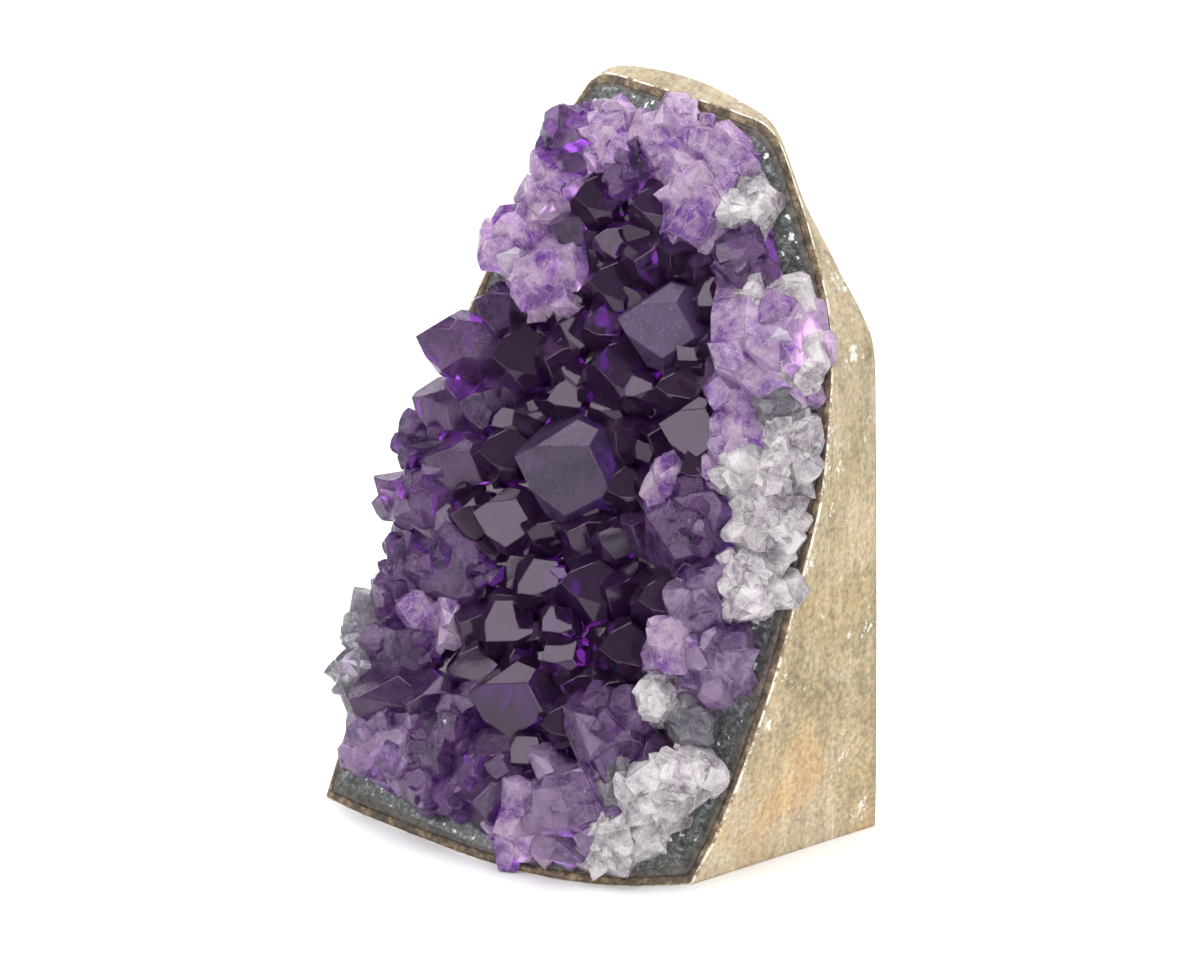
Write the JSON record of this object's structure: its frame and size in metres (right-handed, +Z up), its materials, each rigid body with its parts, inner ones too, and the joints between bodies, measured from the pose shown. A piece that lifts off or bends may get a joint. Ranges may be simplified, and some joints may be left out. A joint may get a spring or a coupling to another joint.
{
  "type": "amethyst cluster",
  "caption": "Amethyst crystal cluster on its ground basalt rind with a dark agate band, sawn flat underneath so that it stands up.",
  "frame": {"origin": "middle of the sawn flat base, on the surface that the cluster stands on", "axes": "+Z up, the crystal face looks towards -Y and leans back, the flat ground back looks towards +Y, +X is to the right seen from the front"},
  "size_m": [0.1085, 0.0641, 0.1548],
  "materials": {
    "basalt": "matte",
    "agate": "satin",
    "amethyst": "polished"
  },
  "bodies": {
    "root": {"basalt_rind": "basalt", "agate_band": "agate", "amethyst_crust": "amethyst"}
  },
  "joints": []
}
